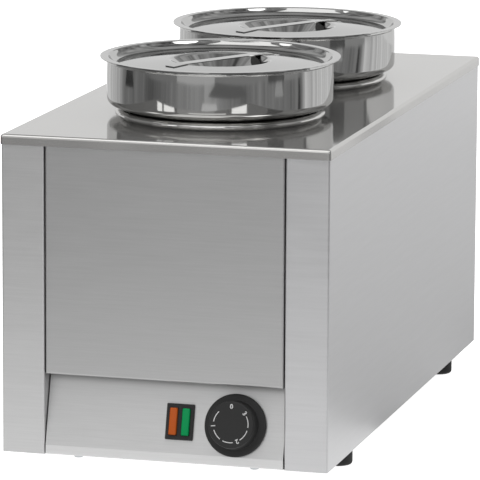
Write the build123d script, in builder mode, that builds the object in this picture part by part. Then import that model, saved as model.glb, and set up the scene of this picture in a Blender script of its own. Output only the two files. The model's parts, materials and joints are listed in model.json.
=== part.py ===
"""Electric bain-marie with two lidded pots, one behind the other, in a folded stainless casing.

Frame: the origin is on the standing surface under the middle of the deck, +X is the user's right,
-Y is the front with the controls, +Z is up. All sizes are millimetres.
"""
import os
from math import cos, radians, sin, tan

from build123d import *

os.makedirs("parts", exist_ok=True)

# Sheet metal
sheet = 0.8                   # thickness of every folded sheet
fold_radius = 1.8             # outside radius of a casing panel's folded edge
slip_gap = 0.2                # between a sheet and the sheet that slips over it

# Wells and pots
well_radius = 83.8            # inside of the raised collar
pot_clearance = 0.8           # pot neck inside its well
pot_step = 13.5               # the upper body stands out over the neck
rim_width = 5.9               # lid rim beyond the pot's upper body
pot_height = 47.0             # top of the pot's mouth above the deck
mouth_flare = 0.6             # the mouth is widened round the lid's wall
mouth_height = 3.0
mouth_lead = 1.0              # height of the slope under the widened mouth
mouth_round = 1.8
pot_depth = 158.0             # underside of the pot below the deck
pot_floor_radius = 12.0
shoulder_slope = 24.4         # degrees, underside of the step
pot_seat_gap = 0.3            # step's underside off the collar
shoulder_radius = 6.0
neck_radius = 2.0             # hollow round between the step and the neck
seat_gap = 0.2                # lid rim over the pot's mouth

# Lids
lid_wall_inset = 0.8          # rim's inner corner inside the pot's upper body
lid_wall_run = 4.2            # sloped wall, measured inwards
lid_trough_depth = 6.6
dish_radius = 42.5            # corner of the bowl-shaped finger dish
dish_edge_depth = 3.2         # dish corner below the rim
dish_floor_radius = 24.0
dish_depth = 16.4             # dish floor below the rim
lid_rim_round = 1.6
lid_trough_round = 9.0
dish_edge_round = 7.0
dish_floor_round = 16.0
strap_length = 117.0
strap_width = 10.6
strap_thickness = 0.7
strap_angle = 58.8            # degrees from +X
strap_bend = 60.0             # strap's bend where it leaves the dish's edge
strap_seat = 0.05             # weld seam under the strap

# Deck
deck_lip = 8.5
deck_fold_radius = 2.6        # outside radius of the deck's edges
collar_width = 6.0
collar_height = 3.2
collar_round = 1.0            # inner top edge of the collar
collar_skirt = 3.0            # collar below the deck's top
rim_gap = 16.7                # between the two lid rims
side_margin = 37.6            # lid rim to the casing's side
front_margin = 67.5           # lid rim to the casing's front
rear_margin = 62.2            # lid rim to the casing's back

# Tank
tank_gap = 18.0               # pot neck to the tank's wall
pot_floor_gap = 29.7          # pot's underside to the tank's floor
service_height = 80.0         # casing's lower edge to the tank's underside
tank_corner = 20.0
tank_edge = 12.0
tank_flange = 12.0

# Casing panels
pilaster_width = 37.0         # front return of a side panel
pilaster_return = 24.0
rear_flange = 15.0
top_flange = 14.0
flange_end_gap = 14.0         # top and base flanges short of the pilaster's return
panel_gap = 0.7               # between a pilaster and the panel beside it
front_edge_height = 68.5      # front panel above the casing's lower edge
front_pan_depth = 32.0
strip_height = 8.2            # upright strip under the sloped fascia
fascia_tilt = 15.0            # degrees from upright
fascia_flange = 18.0
rear_top_flange = 14.0
base_setback = 3.0            # base pan behind the casing's front
base_lip = 6.0
vent_length = 40.0
vent_width = 4.0
vent_pitch = 12.0
vent_count = 6
vent_height = 150.0           # rear vents above the casing's lower edge

# Feet
foot_height = 13.0
foot_radius = 12.5
foot_round = 2.5
foot_edge_gap = 1.5           # foot inside the casing's side
foot_end_gap = 90.5           # foot axis to the casing's front or back
foot_recess_radius = 5.5
foot_recess_depth = 5.0

# Controls
control_row = 26.2            # up the fascia from its lower fold
knob_offset = 60.3            # right of the middle
lamp_offset = 12.5
knob_radius = 26.2
knob_height = 17.0
knob_gap = 0.6                # knob skirt off the fascia
knob_skirt = 3.4
knob_skirt_fall = 0.6         # skirt's top falls towards its edge
knob_edge = 0.6
knob_round = 1.2
knob_cap_radius = 19.4
knob_cap_taper = 0.9
knob_wall = 1.8
knob_hub_radius = 6.5
shaft_radius = 3.0
shaft_flat = 1.0              # depth of the flat on the shaft
shaft_clearance = 0.05
shaft_end_gap = 0.3
shaft_in_knob = 11.0
shaft_in_body = 12.0
bush_radius = 5.0
bush_projection = 2.4
thermostat_width = 36.0
thermostat_height = 44.0
thermostat_depth = 24.0
thermostat_screw_spread = 28.0
lamp_bezel_width = 23.6
lamp_bezel_height = 30.0
lamp_bezel_thickness = 2.0
lamp_bezel_corner = 0.8
lamp_bezel_chamfer = 0.4
lamp_body_width = 21.4
lamp_body_height = 27.4
lamp_body_depth = 20.0
lamp_cutout_gap = 0.3
lens_width = 7.2
lens_height = 22.8
lens_spread = 10.8            # between the two lenses' middles
lens_proud = 2.2
lens_seat = 4.0               # pocket below the bezel's face
lens_gap = 0.1
lens_round = 0.4

# Heating and sensing
heater_radius = 4.0
heater_bend = 22.0
heater_outer = 80.0           # outer runs from the middle
heater_inner = 30.0
heater_end_gap = 24.0         # heater ends inside the tank's ends
heater_turn_gap = 55.0        # inner loop inside the outer loop
pin_radius = 2.0
pin_length = 14.0
clamp_width = 12.0
clamp_thickness = 1.5
clamp_overhang = 10.0
clamp_pitch = 110.0
bulb_radius = 3.5
bulb_length = 80.0
bulb_start = -60.0            # front end of the bulb from the middle of the wells
clip_sheet = 0.6
clip_foot = 8.0
clip_length = 10.0
clip_inset = 14.0
clip_gap = 0.05
capillary_radius = 0.9
capillary_bend = 8.0
capillary_offset = 10.0       # beside the thermostat's axis
capillary_lead = 12.0         # in front of the tank
limiter_radius = 10.0
limiter_depth = 10.0
limiter_offset = 50.0         # left of the middle
limiter_height = 60.0         # above the tank's underside
limiter_ear_width = 40.0
limiter_ear_height = 14.0
limiter_ear_sheet = 1.0
limiter_stud_spread = 29.0

# Mains connection
gland_inset = 45.0            # gland's axis from the casing's left side
gland_height = 38.0           # above the casing's lower edge
gland_hex_radius = 13.0
gland_hex_height = 6.0
gland_dome_radius = 10.5
gland_dome_height = 9.2
gland_dome_round = 3.0
gland_thread_radius = 8.0
gland_thread_length = 12.0
gland_bore_radius = 4.5
gland_nut_radius = 12.0
gland_nut_height = 4.5
terminal_offset = 50.0        # left of the middle
terminal_rear_gap = 45.0
terminal_width = 38.0
terminal_depth = 20.0
terminal_height = 18.0
terminal_pitch = 11.0
terminal_bore = 2.6
terminal_screw_radius = 2.2
terminal_screw_height = 1.2
earth_offset = 85.0           # left of the middle
earth_radius = 2.5
earth_length = 16.0

# Wiring
lead_radius = 1.2
lead_bend = 4.0
lead_gap = 0.3                # wire end to its tab, pin or stud
lead_out = 7.0                # straight run off a tab
lead_turn = 30.0              # last turn before the terminal block
lead_spacing = 10.0
lead_entry = 3.0              # wire end inside the terminal block
riser_lead = 28.0             # upright wires in front of the tank
riser_start = 56.0            # where they start, above the casing's lower edge

# Fasteners
thread_radius = 2.0
thread_gap = 0.15
nut_gap = 0.05
head_radius = 3.6
head_height = 2.2
recess_length = 4.0
recess_width = 0.9
recess_depth = 1.2
screw_length = 8.0
block_screw_length = 4.0      # screws under the terminal block
nut_radius = 4.0
nut_height = 3.2
stud_length = 8.0
front_screw_spread = 152.0    # two screws under the front edge
front_screw_setback = 8.0
side_screw_spread = 480.0
deck_stud_spacing = 180.0     # between deck studs along a side
rear_screw_pitch = 100.0
fascia_screw_spread = 160.0
tab_width = 6.3
tab_thickness = 0.8
tab_length = 9.0

# Sizes that follow from the ones above
neck_outer = well_radius - pot_clearance
pot_radius = neck_outer + pot_step
lid_radius = pot_radius + rim_width
half_width = lid_radius + side_margin
half_depth = (front_margin + 4 * lid_radius + rim_gap + rear_margin) / 2
base_z = foot_height
tank_under = base_z + service_height
deck_z = tank_under + sheet + pot_floor_gap + pot_depth
deck_under = deck_z - sheet
front_y = -half_depth
rear_y = half_depth - sheet
front_well = front_y + front_margin + lid_radius
rear_well = front_well + 2 * lid_radius + rim_gap
well_middle = (front_well + rear_well) / 2
wells = {"front": front_well, "rear": rear_well}
pot_rim_z = deck_z + pot_height
lid_z = pot_rim_z + seat_gap + sheet
tank_half_width = neck_outer + tank_gap + sheet
tank_front = front_well - tank_half_width
tank_rear = rear_well + tank_half_width
front_edge_z = base_z + front_edge_height
panel_half_width = half_width - pilaster_width - panel_gap
base_flange = foot_edge_gap + 2 * foot_radius + foot_edge_gap
base_top = base_z + 2 * sheet
flange_length = 2 * (half_depth - pilaster_return - flange_end_gap)

# The fascia's lower fold, its outward normal and the plane of its face
tilt = radians(fascia_tilt)
fold_point = Vector(0, front_y, base_z + strip_height)
fascia_normal = Vector(0, -cos(tilt), sin(tilt))
fascia_up = Vector(0, sin(tilt), cos(tilt))
inward = fascia_normal * -1
fascia = Plane(fold_point, x_dir=(1, 0, 0), z_dir=fascia_normal)
fascia_rise = front_edge_z - base_z - strip_height
fascia_top_y = front_y + fascia_rise * tan(tilt)
knob_point = fold_point + fascia_up * control_row + Vector(knob_offset, 0, 0)
knob_plane = Plane(knob_point, x_dir=(1, 0, 0), z_dir=fascia_normal)
knob_section = Plane(knob_point, x_dir=(1, 0, 0), z_dir=fascia_up * -1)
lamp_plane = Plane(fold_point + fascia_up * control_row + Vector(lamp_offset, 0, 0),
                   x_dir=(1, 0, 0), z_dir=fascia_normal)
lamp_axis = Axis(lamp_plane.origin, fascia_normal)

# Places that several pieces share
foot_x = half_width - foot_edge_gap - foot_radius
foot_y = half_depth - foot_end_gap
foot_places = {
    "front_left": (-foot_x, -foot_y),
    "front_right": (foot_x, -foot_y),
    "rear_left": (-foot_x, foot_y),
    "rear_right": (foot_x, foot_y),
}
stud_x = half_width - top_flange / 2
stud_places = [(side * stud_x, row * deck_stud_spacing) for side in (-1, 1) for row in (-1, 0, 1)]
front_screw_y = front_y + front_screw_setback
front_screw_places = [(side * front_screw_spread / 2, front_screw_y) for side in (-1, 1)]
side_screw_places = [(side * foot_x, end * side_screw_spread / 2) for side in (-1, 1) for end in (-1, 1)]
rear_screw_x = half_width - rear_flange / 2
rear_screw_z = [base_z + (deck_under - base_z) / 2 + row * rear_screw_pitch for row in (-1, 0, 1)]
rear_screw_places = [(side * rear_screw_x, z) for side in (-1, 1) for z in rear_screw_z]
fascia_screw_y = (fascia_top_y + front_y + front_pan_depth) / 2
fascia_screw_places = [(side * fascia_screw_spread / 2, fascia_screw_y) for side in (-1, 1)]
gland_place = (gland_inset - half_width, base_z + gland_height)
terminal_y = rear_y - terminal_rear_gap
terminal_screw_places = [(-terminal_offset + side * terminal_pitch / 2, terminal_y) for side in (-1, 1)]
earth_place = (-earth_offset, terminal_y)
clamp_rows = [well_middle + row * clamp_pitch for row in (-1, 0, 1)]
heater_z = tank_under - heater_radius
clamp_stud_x = (heater_outer + heater_inner) / 2
clamp_stud_places = [(side * clamp_stud_x, y) for side in (-1, 1) for y in clamp_rows]


def save(builder, name):
    """Labels a finished piece and writes it to its own file."""
    builder.part.label = name
    export_step(builder.part, f"parts/{name}.step")


def sheet_section(points, radii, side):
    """Draws the section of a folded sheet whose visible face follows the points."""
    with BuildLine() as face_line:
        FilletPolyline(*points, radius=radii)
        offset(amount=sheet, side=side)
    make_face(face_line.edges())


def pan_head_screws(planes, length):
    """Adds screws whose heads stand on the planes, with the shanks below."""
    with Locations(*planes):
        Cylinder(head_radius, head_height, align=(Align.CENTER, Align.CENTER, Align.MIN))
        Cylinder(thread_radius, length, align=(Align.CENTER, Align.CENTER, Align.MAX))
    with Locations(*[plane.offset(head_height) for plane in planes]):
        Box(recess_length, recess_width, 2 * recess_depth, mode=Mode.SUBTRACT)
        Box(recess_width, recess_length, 2 * recess_depth, mode=Mode.SUBTRACT)


def studs(planes, length):
    """Adds plain threaded studs that stand on the planes."""
    with Locations(*planes):
        Cylinder(thread_radius, length, align=(Align.CENTER, Align.CENTER, Align.MIN))


def hex_nuts(planes, across, height, bore):
    """Adds hexagon nuts that stand on the planes."""
    with BuildSketch(*planes, mode=Mode.PRIVATE) as outline:
        RegularPolygon(across, 6)
        Circle(bore, mode=Mode.SUBTRACT)
    extrude(outline.sketch, amount=height)


def round_holes(planes, radius):
    """Drills holes right through the sheet at the planes."""
    with Locations(*planes):
        Cylinder(radius, 4 * sheet, mode=Mode.SUBTRACT)


def beside(plane, spread):
    """Two planes to the left and right of a plane's middle."""
    middles = [plane.from_local_coords((side * spread / 2, 0, 0)) for side in (-1, 1)]
    return [Plane(middle, x_dir=plane.x_dir, z_dir=plane.z_dir) for middle in middles]


def planes_up(places, z):
    """Planes that face up at a height."""
    return [Plane((x, y, z)) for x, y in places]


def planes_down(places, z):
    """Planes that face down at a height."""
    return [Plane((x, y, z), x_dir=(1, 0, 0), z_dir=(0, 0, -1)) for x, y in places]


def planes_back(places, y):
    """Planes that face backwards at a depth."""
    return [Plane((x, y, z), x_dir=(1, 0, 0), z_dir=(0, 1, 0)) for x, z in places]


def off_tab(plane, x, y):
    """The end of a wire at a tab on the back of a housing, and the end of its straight run."""
    end = plane.from_local_coords((x, y, -tab_length - lead_gap))
    return end, end + inward * lead_out


# The deck: a folded pan with two wells, each inside a drawn-up collar
with BuildPart() as top_deck:
    with BuildSketch(Plane.XY.offset(deck_z - deck_lip)):
        Rectangle(2 * (half_width + slip_gap + sheet), 2 * (half_depth + slip_gap + sheet))
    extrude(amount=deck_lip)
    fillet(top_deck.edges().filter_by(Axis.Z), deck_fold_radius)
    fillet(top_deck.faces().sort_by(Axis.Z)[-1].edges(), deck_fold_radius)
    offset(amount=-sheet, openings=top_deck.faces().sort_by(Axis.Z)[0])
    with BuildSketch(Plane.XY.offset(deck_under)):
        with Locations(*[(0, y) for y in wells.values()]):
            Circle(well_radius)
    extrude(amount=sheet, mode=Mode.SUBTRACT)
    for y in wells.values():
        crown = well_radius + collar_round
        foot = well_radius + collar_width
        with BuildSketch(Plane((0, y, deck_z), x_dir=(1, 0, 0), z_dir=(0, -1, 0))):
            with BuildLine():
                Line((well_radius, -collar_skirt), (well_radius, collar_height - collar_round))
                CenterArc((crown, collar_height - collar_round), collar_round, 90, 90)
                EllipticalCenterArc((crown, 0), foot - crown, collar_height, start_angle=0, arc_size=90)
                Polyline((foot, 0), (foot, -sheet), (well_radius + sheet, -sheet),
                         (well_radius + sheet, -collar_skirt), (well_radius, -collar_skirt))
            make_face()
        revolve(axis=Axis((0, y, 0), (0, 0, 1)))
save(top_deck, "top_deck")

# Weld studs under the deck, and the nuts that hold the side panels' top flanges to it
with BuildPart() as deck_studs:
    studs(planes_down(stud_places, deck_under), stud_length)
save(deck_studs, "deck_studs")

with BuildPart() as deck_nuts:
    hex_nuts(planes_down(stud_places, deck_under - sheet), nut_radius, nut_height, thread_radius + nut_gap)
save(deck_nuts, "deck_nuts")

# Side panels: each one folds round the front as a pilaster and has flanges at the top, base and back
for side, hand in (("left", -1), ("right", 1)):
    with BuildPart() as side_panel:
        with BuildSketch(Plane.XY.offset(base_z)):
            sheet_section(
                [
                    (hand * (half_width - pilaster_width), front_y + pilaster_return),
                    (hand * (half_width - pilaster_width), front_y),
                    (hand * half_width, front_y),
                    (hand * half_width, half_depth),
                    (hand * (half_width - rear_flange), half_depth),
                ],
                fold_radius,
                Side.RIGHT if hand < 0 else Side.LEFT,
            )
        extrude(amount=deck_under - fold_radius - base_z)
        with BuildSketch(Plane.XZ):
            sheet_section(
                [
                    (hand * half_width, deck_under - 2 * fold_radius),
                    (hand * half_width, deck_under),
                    (hand * (half_width - top_flange), deck_under),
                ],
                fold_radius,
                Side.RIGHT if hand < 0 else Side.LEFT,
            )
        extrude(amount=flange_length / 2, both=True)
        with BuildSketch(Plane((hand * (half_width - base_flange / 2), 0, base_z))):
            Rectangle(base_flange, flange_length)
        extrude(amount=sheet)
        own_studs = [place for place in stud_places if place[0] * hand > 0]
        own_feet = [place for place in foot_places.values() if place[0] * hand > 0]
        own_screws = [place for place in side_screw_places if place[0] * hand > 0]
        own_rear_screws = [place for place in rear_screw_places if place[0] * hand > 0]
        round_holes(planes_up(own_studs, deck_under), thread_radius + thread_gap)
        round_holes(planes_up(own_feet + own_screws, base_z), thread_radius + thread_gap)
        round_holes(planes_back(own_rear_screws, half_depth), thread_radius + thread_gap)
    save(side_panel, f"{side}_side_panel")

# Front panel: a shallow pan that hangs under the deck between the pilasters
with BuildPart() as front_panel:
    with BuildSketch(Plane((0, front_y + front_pan_depth / 2, front_edge_z))):
        Rectangle(2 * panel_half_width, front_pan_depth)
    extrude(amount=deck_under - front_edge_z)
    fillet(front_panel.faces().sort_by(Axis.Y)[0].edges(), fold_radius)
    offset(amount=-sheet, openings=front_panel.faces().sort_by(Axis.Y)[-1])
    round_holes(planes_up(fascia_screw_places, front_edge_z), thread_radius + thread_gap)
save(front_panel, "front_panel")

# Control fascia: base flange, upright strip, sloped face and a top flange under the front panel
with BuildPart() as control_fascia:
    with BuildSketch(Plane.YZ):
        sheet_section(
            [
                (front_y + fascia_flange, base_z),
                (front_y, base_z),
                (front_y, base_z + strip_height),
                (fascia_top_y, front_edge_z),
                (fascia_top_y + fascia_flange, front_edge_z),
            ],
            fold_radius,
            Side.RIGHT,
        )
    extrude(amount=panel_half_width, both=True)
    with BuildSketch(lamp_plane):
        Rectangle(lamp_body_width + 2 * lamp_cutout_gap, lamp_body_height + 2 * lamp_cutout_gap)
    extrude(amount=2 * sheet, both=True, mode=Mode.SUBTRACT)
    with BuildSketch(knob_plane):
        Circle(bush_radius + thread_gap)
        with Locations((-thermostat_screw_spread / 2, 0), (thermostat_screw_spread / 2, 0)):
            Circle(thread_radius + thread_gap)
    extrude(amount=2 * sheet, both=True, mode=Mode.SUBTRACT)
    round_holes(planes_up(front_screw_places, base_z), thread_radius + thread_gap)
    round_holes(planes_up(fascia_screw_places, front_edge_z), thread_radius + thread_gap)
save(control_fascia, "control_fascia")

with BuildPart() as fascia_screws:
    pan_head_screws(planes_down(fascia_screw_places, front_edge_z - sheet), screw_length)
save(fascia_screws, "fascia_screws")

# Rear panel: inside the side panels' back flanges, with vents and the cable entry
with BuildPart() as rear_panel:
    with BuildSketch(Plane.YZ):
        sheet_section(
            [(rear_y - rear_top_flange, deck_under), (rear_y, deck_under), (rear_y, base_z)],
            fold_radius,
            Side.RIGHT,
        )
    extrude(amount=half_width - fold_radius - slip_gap, both=True)
    with BuildSketch(Plane((0, rear_y, base_z + vent_height), x_dir=(1, 0, 0), z_dir=(0, 1, 0))):
        with GridLocations(vent_length + vent_pitch, vent_pitch, 2, vent_count):
            SlotOverall(vent_length, vent_width)
    extrude(amount=2 * sheet, both=True, mode=Mode.SUBTRACT)
    round_holes(planes_back(rear_screw_places, rear_y), thread_radius + thread_gap)
    round_holes(planes_back([gland_place], rear_y), gland_thread_radius + thread_gap)
save(rear_panel, "rear_panel")

with BuildPart() as rear_screws:
    pan_head_screws(planes_back(rear_screw_places, half_depth), screw_length)
save(rear_screws, "rear_screws")

# Base pan: on the side panels' base flanges, vented under the heater
with BuildPart() as base_pan:
    base_rear = rear_y - sheet
    base_front = front_y + pilaster_return + slip_gap
    tongue_front = front_y + base_setback
    with BuildSketch(Plane.XY.offset(base_z + sheet)):
        with Locations((0, (base_front + base_rear) / 2)):
            Rectangle(2 * (half_width - fold_radius - slip_gap), base_rear - base_front)
        with Locations((0, (tongue_front + base_rear) / 2)):
            Rectangle(2 * panel_half_width, base_rear - tongue_front)
    extrude(amount=base_lip)
    fillet(base_pan.faces().sort_by(Axis.Z)[0].edges(), fold_radius)
    offset(amount=-sheet, openings=base_pan.faces().sort_by(Axis.Z)[-1])
    with BuildSketch(Plane((0, well_middle, base_z + sheet))):
        with GridLocations(vent_length + vent_pitch, vent_pitch, 2, vent_count):
            SlotOverall(vent_length, vent_width)
    extrude(amount=2 * sheet, both=True, mode=Mode.SUBTRACT)
    base_holes = list(foot_places.values()) + side_screw_places + front_screw_places + terminal_screw_places
    round_holes(planes_up(base_holes, base_top), thread_radius + thread_gap)
save(base_pan, "base_pan")

with BuildPart() as base_screws:
    pan_head_screws(planes_down(side_screw_places + front_screw_places, base_z), screw_length)
save(base_screws, "base_screws")

# Rubber feet, each with a recessed screw and a nut above the base pan
for place, (x, y) in foot_places.items():
    with BuildPart() as foot:
        with BuildSketch(Plane((x, y, 0))):
            Circle(foot_radius)
        extrude(amount=foot_height)
        fillet(foot.faces().sort_by(Axis.Z)[0].edges(), foot_round)
        with BuildSketch(Plane((x, y, 0))):
            Circle(foot_recess_radius)
        extrude(amount=foot_recess_depth, mode=Mode.SUBTRACT)
        with BuildSketch(Plane((x, y, foot_recess_depth))):
            Circle(thread_radius + thread_gap)
        extrude(amount=foot_height - foot_recess_depth, mode=Mode.SUBTRACT)
    save(foot, f"foot_{place}")

foot_screw_length = foot_height - foot_recess_depth + 2 * sheet + nut_height + thread_radius
with BuildPart() as foot_screws:
    pan_head_screws(planes_down(foot_places.values(), foot_recess_depth), foot_screw_length)
save(foot_screws, "foot_screws")

with BuildPart() as foot_nuts:
    hex_nuts(planes_up(foot_places.values(), base_top), nut_radius, nut_height, thread_radius + nut_gap)
save(foot_nuts, "foot_nuts")

# Water tank: a deep pan that hangs from the deck by its flange
with BuildPart() as water_tank:
    tank_length = tank_rear - tank_front
    with BuildSketch(Plane((0, well_middle, tank_under))):
        RectangleRounded(2 * tank_half_width, tank_length, tank_corner)
    extrude(amount=deck_under - tank_under)
    fillet(water_tank.faces().sort_by(Axis.Z)[0].edges(), tank_edge)
    offset(amount=-sheet, openings=water_tank.faces().sort_by(Axis.Z)[-1])
    with BuildSketch(Plane((0, well_middle, deck_under - sheet))):
        RectangleRounded(2 * (tank_half_width + tank_flange), tank_length + 2 * tank_flange, tank_corner)
        RectangleRounded(2 * (tank_half_width - sheet), tank_length - 2 * sheet, tank_corner - sheet,
                         mode=Mode.SUBTRACT)
    extrude(amount=sheet)
save(water_tank, "water_tank")

# Heating element: one sheathed tube in two loops under the tank's floor
with BuildPart() as heating_element:
    heater_front = tank_front + heater_end_gap
    heater_rear = tank_rear - heater_end_gap
    with BuildLine():
        heater_run = FilletPolyline(
            (-heater_outer, heater_front, heater_z),
            (-heater_outer, heater_rear, heater_z),
            (heater_outer, heater_rear, heater_z),
            (heater_outer, heater_front + heater_turn_gap, heater_z),
            (heater_inner, heater_front + heater_turn_gap, heater_z),
            (heater_inner, heater_rear - heater_turn_gap, heater_z),
            (-heater_inner, heater_rear - heater_turn_gap, heater_z),
            (-heater_inner, heater_front, heater_z),
            radius=heater_bend,
        )
    with BuildSketch(Plane(heater_run @ 0, z_dir=heater_run % 0)):
        Circle(heater_radius)
    sweep()
save(heating_element, "heating_element")

with BuildPart() as heater_pins:
    with BuildSketch(Plane((0, heater_front, heater_z), x_dir=(1, 0, 0), z_dir=(0, -1, 0))):
        with Locations((-heater_outer, 0), (-heater_inner, 0)):
            Circle(pin_radius)
    extrude(amount=pin_length)
save(heater_pins, "heater_pins")

# Clamp bars that press the element against the tank, on studs welded to its floor
with BuildPart() as heater_clamps:
    with BuildSketch(Plane.XY.offset(heater_z - heater_radius)):
        with Locations(*[(0, y) for y in clamp_rows]):
            Rectangle(2 * (heater_outer + clamp_overhang), clamp_width)
        with Locations(*clamp_stud_places):
            Circle(thread_radius + thread_gap, mode=Mode.SUBTRACT)
    extrude(amount=-clamp_thickness)
save(heater_clamps, "heater_clamps")

clamp_under = heater_z - heater_radius - clamp_thickness
with BuildPart() as clamp_studs:
    studs(planes_down(clamp_stud_places, tank_under), tank_under - clamp_under + nut_height + thread_radius)
save(clamp_studs, "clamp_studs")

with BuildPart() as clamp_nuts:
    hex_nuts(planes_down(clamp_stud_places, clamp_under), nut_radius, nut_height, thread_radius + nut_gap)
save(clamp_nuts, "clamp_nuts")

# Thermostat: body behind the fascia, with a bush through it
with BuildPart() as thermostat:
    with BuildSketch(knob_plane.offset(-sheet)):
        Rectangle(thermostat_width, thermostat_height)
    extrude(amount=-thermostat_depth)
    with BuildSketch(knob_plane.offset(-sheet)):
        Circle(bush_radius)
    extrude(amount=sheet + bush_projection)
    with BuildSketch(knob_plane.offset(bush_projection)):
        Circle(shaft_radius + shaft_clearance)
    extrude(amount=-(bush_projection + sheet + shaft_in_body), mode=Mode.SUBTRACT)
    with BuildSketch(knob_plane.offset(-sheet)):
        with Locations((-thermostat_screw_spread / 2, 0), (thermostat_screw_spread / 2, 0)):
            Circle(thread_radius + thread_gap)
    extrude(amount=-screw_length, mode=Mode.SUBTRACT)
save(thermostat, "thermostat")

with BuildPart() as thermostat_screws:
    pan_head_screws(beside(knob_plane, thermostat_screw_spread), screw_length)
save(thermostat_screws, "thermostat_screws")

thermostat_back = knob_plane.offset(-sheet - thermostat_depth)
with BuildPart() as thermostat_tabs:
    with BuildSketch(thermostat_back):
        with GridLocations(2 * tab_width, 2 * tab_width, 2, 2):
            Rectangle(tab_width, tab_thickness)
    extrude(amount=-tab_length)
save(thermostat_tabs, "thermostat_tabs")

# Control shaft and knob, which turn together
with BuildPart() as control_shaft:
    with BuildSketch(knob_plane.offset(-sheet - shaft_in_body + shaft_end_gap)):
        Circle(shaft_radius)
    extrude(amount=sheet + shaft_in_body + shaft_in_knob - 2 * shaft_end_gap)
    with BuildSketch(knob_plane.offset(bush_projection + shaft_end_gap)):
        with Locations((0, shaft_radius)):
            Rectangle(2 * shaft_radius, 2 * shaft_flat)
    extrude(amount=shaft_in_knob, mode=Mode.SUBTRACT)
save(control_shaft, "control_shaft")

with BuildPart() as control_knob:
    cap_base = knob_cap_radius + knob_cap_taper
    skirt_top = knob_gap + knob_skirt
    with BuildSketch(knob_section):
        with BuildLine():
            FilletPolyline(
                (0, knob_gap),
                (knob_radius, knob_gap),
                (knob_radius, skirt_top - knob_skirt_fall),
                (cap_base, skirt_top),
                (knob_cap_radius, knob_height),
                (0, knob_height),
                radius=[knob_edge, knob_round, knob_edge, knob_round],
            )
            Line((0, knob_height), (0, knob_gap))
        make_face()
    revolve(axis=Axis(knob_point, fascia_normal))
    with BuildSketch(knob_section):
        with BuildLine():
            Polyline(
                (knob_hub_radius, knob_gap),
                (knob_radius - knob_wall, knob_gap),
                (knob_radius - knob_wall, skirt_top - knob_wall),
                (cap_base - knob_wall, skirt_top),
                (knob_cap_radius - knob_wall, knob_height - knob_wall),
                (knob_hub_radius, knob_height - knob_wall),
                (knob_hub_radius, knob_gap),
            )
        make_face()
    revolve(axis=Axis(knob_point, fascia_normal), mode=Mode.SUBTRACT)
    with BuildSketch(knob_plane):
        Circle(bush_radius + knob_gap)
    extrude(amount=bush_projection + knob_gap, mode=Mode.SUBTRACT)
    with BuildSketch(knob_plane):
        Circle(shaft_radius + nut_gap)
        with Locations((0, shaft_radius + nut_gap)):
            Rectangle(2 * shaft_radius + 2 * nut_gap, 2 * shaft_flat, mode=Mode.SUBTRACT)
    extrude(amount=shaft_in_knob, mode=Mode.SUBTRACT)
save(control_knob, "control_knob")

# Twin pilot light: a black housing snapped into the fascia, with two proud lenses
with BuildPart() as pilot_light_housing:
    with BuildSketch(lamp_plane):
        RectangleRounded(lamp_bezel_width, lamp_bezel_height, lamp_bezel_corner)
    extrude(amount=lamp_bezel_thickness)
    chamfer(pilot_light_housing.faces().sort_by(lamp_axis)[-1].edges(), lamp_bezel_chamfer)
    with BuildSketch(lamp_plane):
        Rectangle(lamp_body_width, lamp_body_height)
    extrude(amount=-lamp_body_depth)
    with BuildSketch(lamp_plane.offset(lamp_bezel_thickness)):
        with GridLocations(lens_spread, 0, 2, 1):
            Rectangle(lens_width + 2 * lens_gap, lens_height + 2 * lens_gap)
    extrude(amount=-lens_seat, mode=Mode.SUBTRACT)
save(pilot_light_housing, "pilot_light_housing")

for colour, hand in (("orange", -1), ("green", 1)):
    with BuildPart() as lens:
        with BuildSketch(lamp_plane.offset(lamp_bezel_thickness - lens_seat)):
            with Locations((hand * lens_spread / 2, 0)):
                Rectangle(lens_width, lens_height)
        extrude(amount=lens_seat + lens_proud)
        fillet(lens.faces().sort_by(lamp_axis)[-1].edges(), lens_round)
    save(lens, f"{colour}_lens")

with BuildPart() as pilot_light_tabs:
    with BuildSketch(lamp_plane.offset(-lamp_body_depth)):
        with GridLocations(lens_spread, lens_spread, 2, 2):
            Rectangle(tab_width, tab_thickness)
    extrude(amount=-tab_length)
save(pilot_light_tabs, "pilot_light_tabs")

# Temperature bulb under the tank, its spring clips and the capillary to the thermostat
bulb_z = tank_under - bulb_radius
bulb_front = well_middle + bulb_start
with BuildPart() as sensor_bulb:
    with BuildSketch(Plane((0, bulb_front, bulb_z), x_dir=(1, 0, 0), z_dir=(0, 1, 0))):
        Circle(bulb_radius)
    extrude(amount=bulb_length)
save(sensor_bulb, "sensor_bulb")

with BuildPart() as bulb_clips:
    for y in (bulb_front + clip_inset, bulb_front + bulb_length - clip_inset):
        with BuildSketch(Plane((0, y, bulb_z), x_dir=(1, 0, 0), z_dir=(0, -1, 0))):
            Circle(bulb_radius + clip_gap + clip_sheet)
            with Locations((0, bulb_radius / 2)):
                Rectangle(2 * (bulb_radius + clip_gap + clip_sheet), bulb_radius)
            with Locations((0, bulb_radius - clip_sheet / 2)):
                Rectangle(2 * (bulb_radius + clip_foot), clip_sheet)
            Circle(bulb_radius + clip_gap, mode=Mode.SUBTRACT)
            with Locations((0, bulb_radius)):
                Rectangle(2 * (bulb_radius + clip_gap), 2 * bulb_radius, mode=Mode.SUBTRACT)
        extrude(amount=clip_length / 2, both=True)
save(bulb_clips, "bulb_clips")

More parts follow.
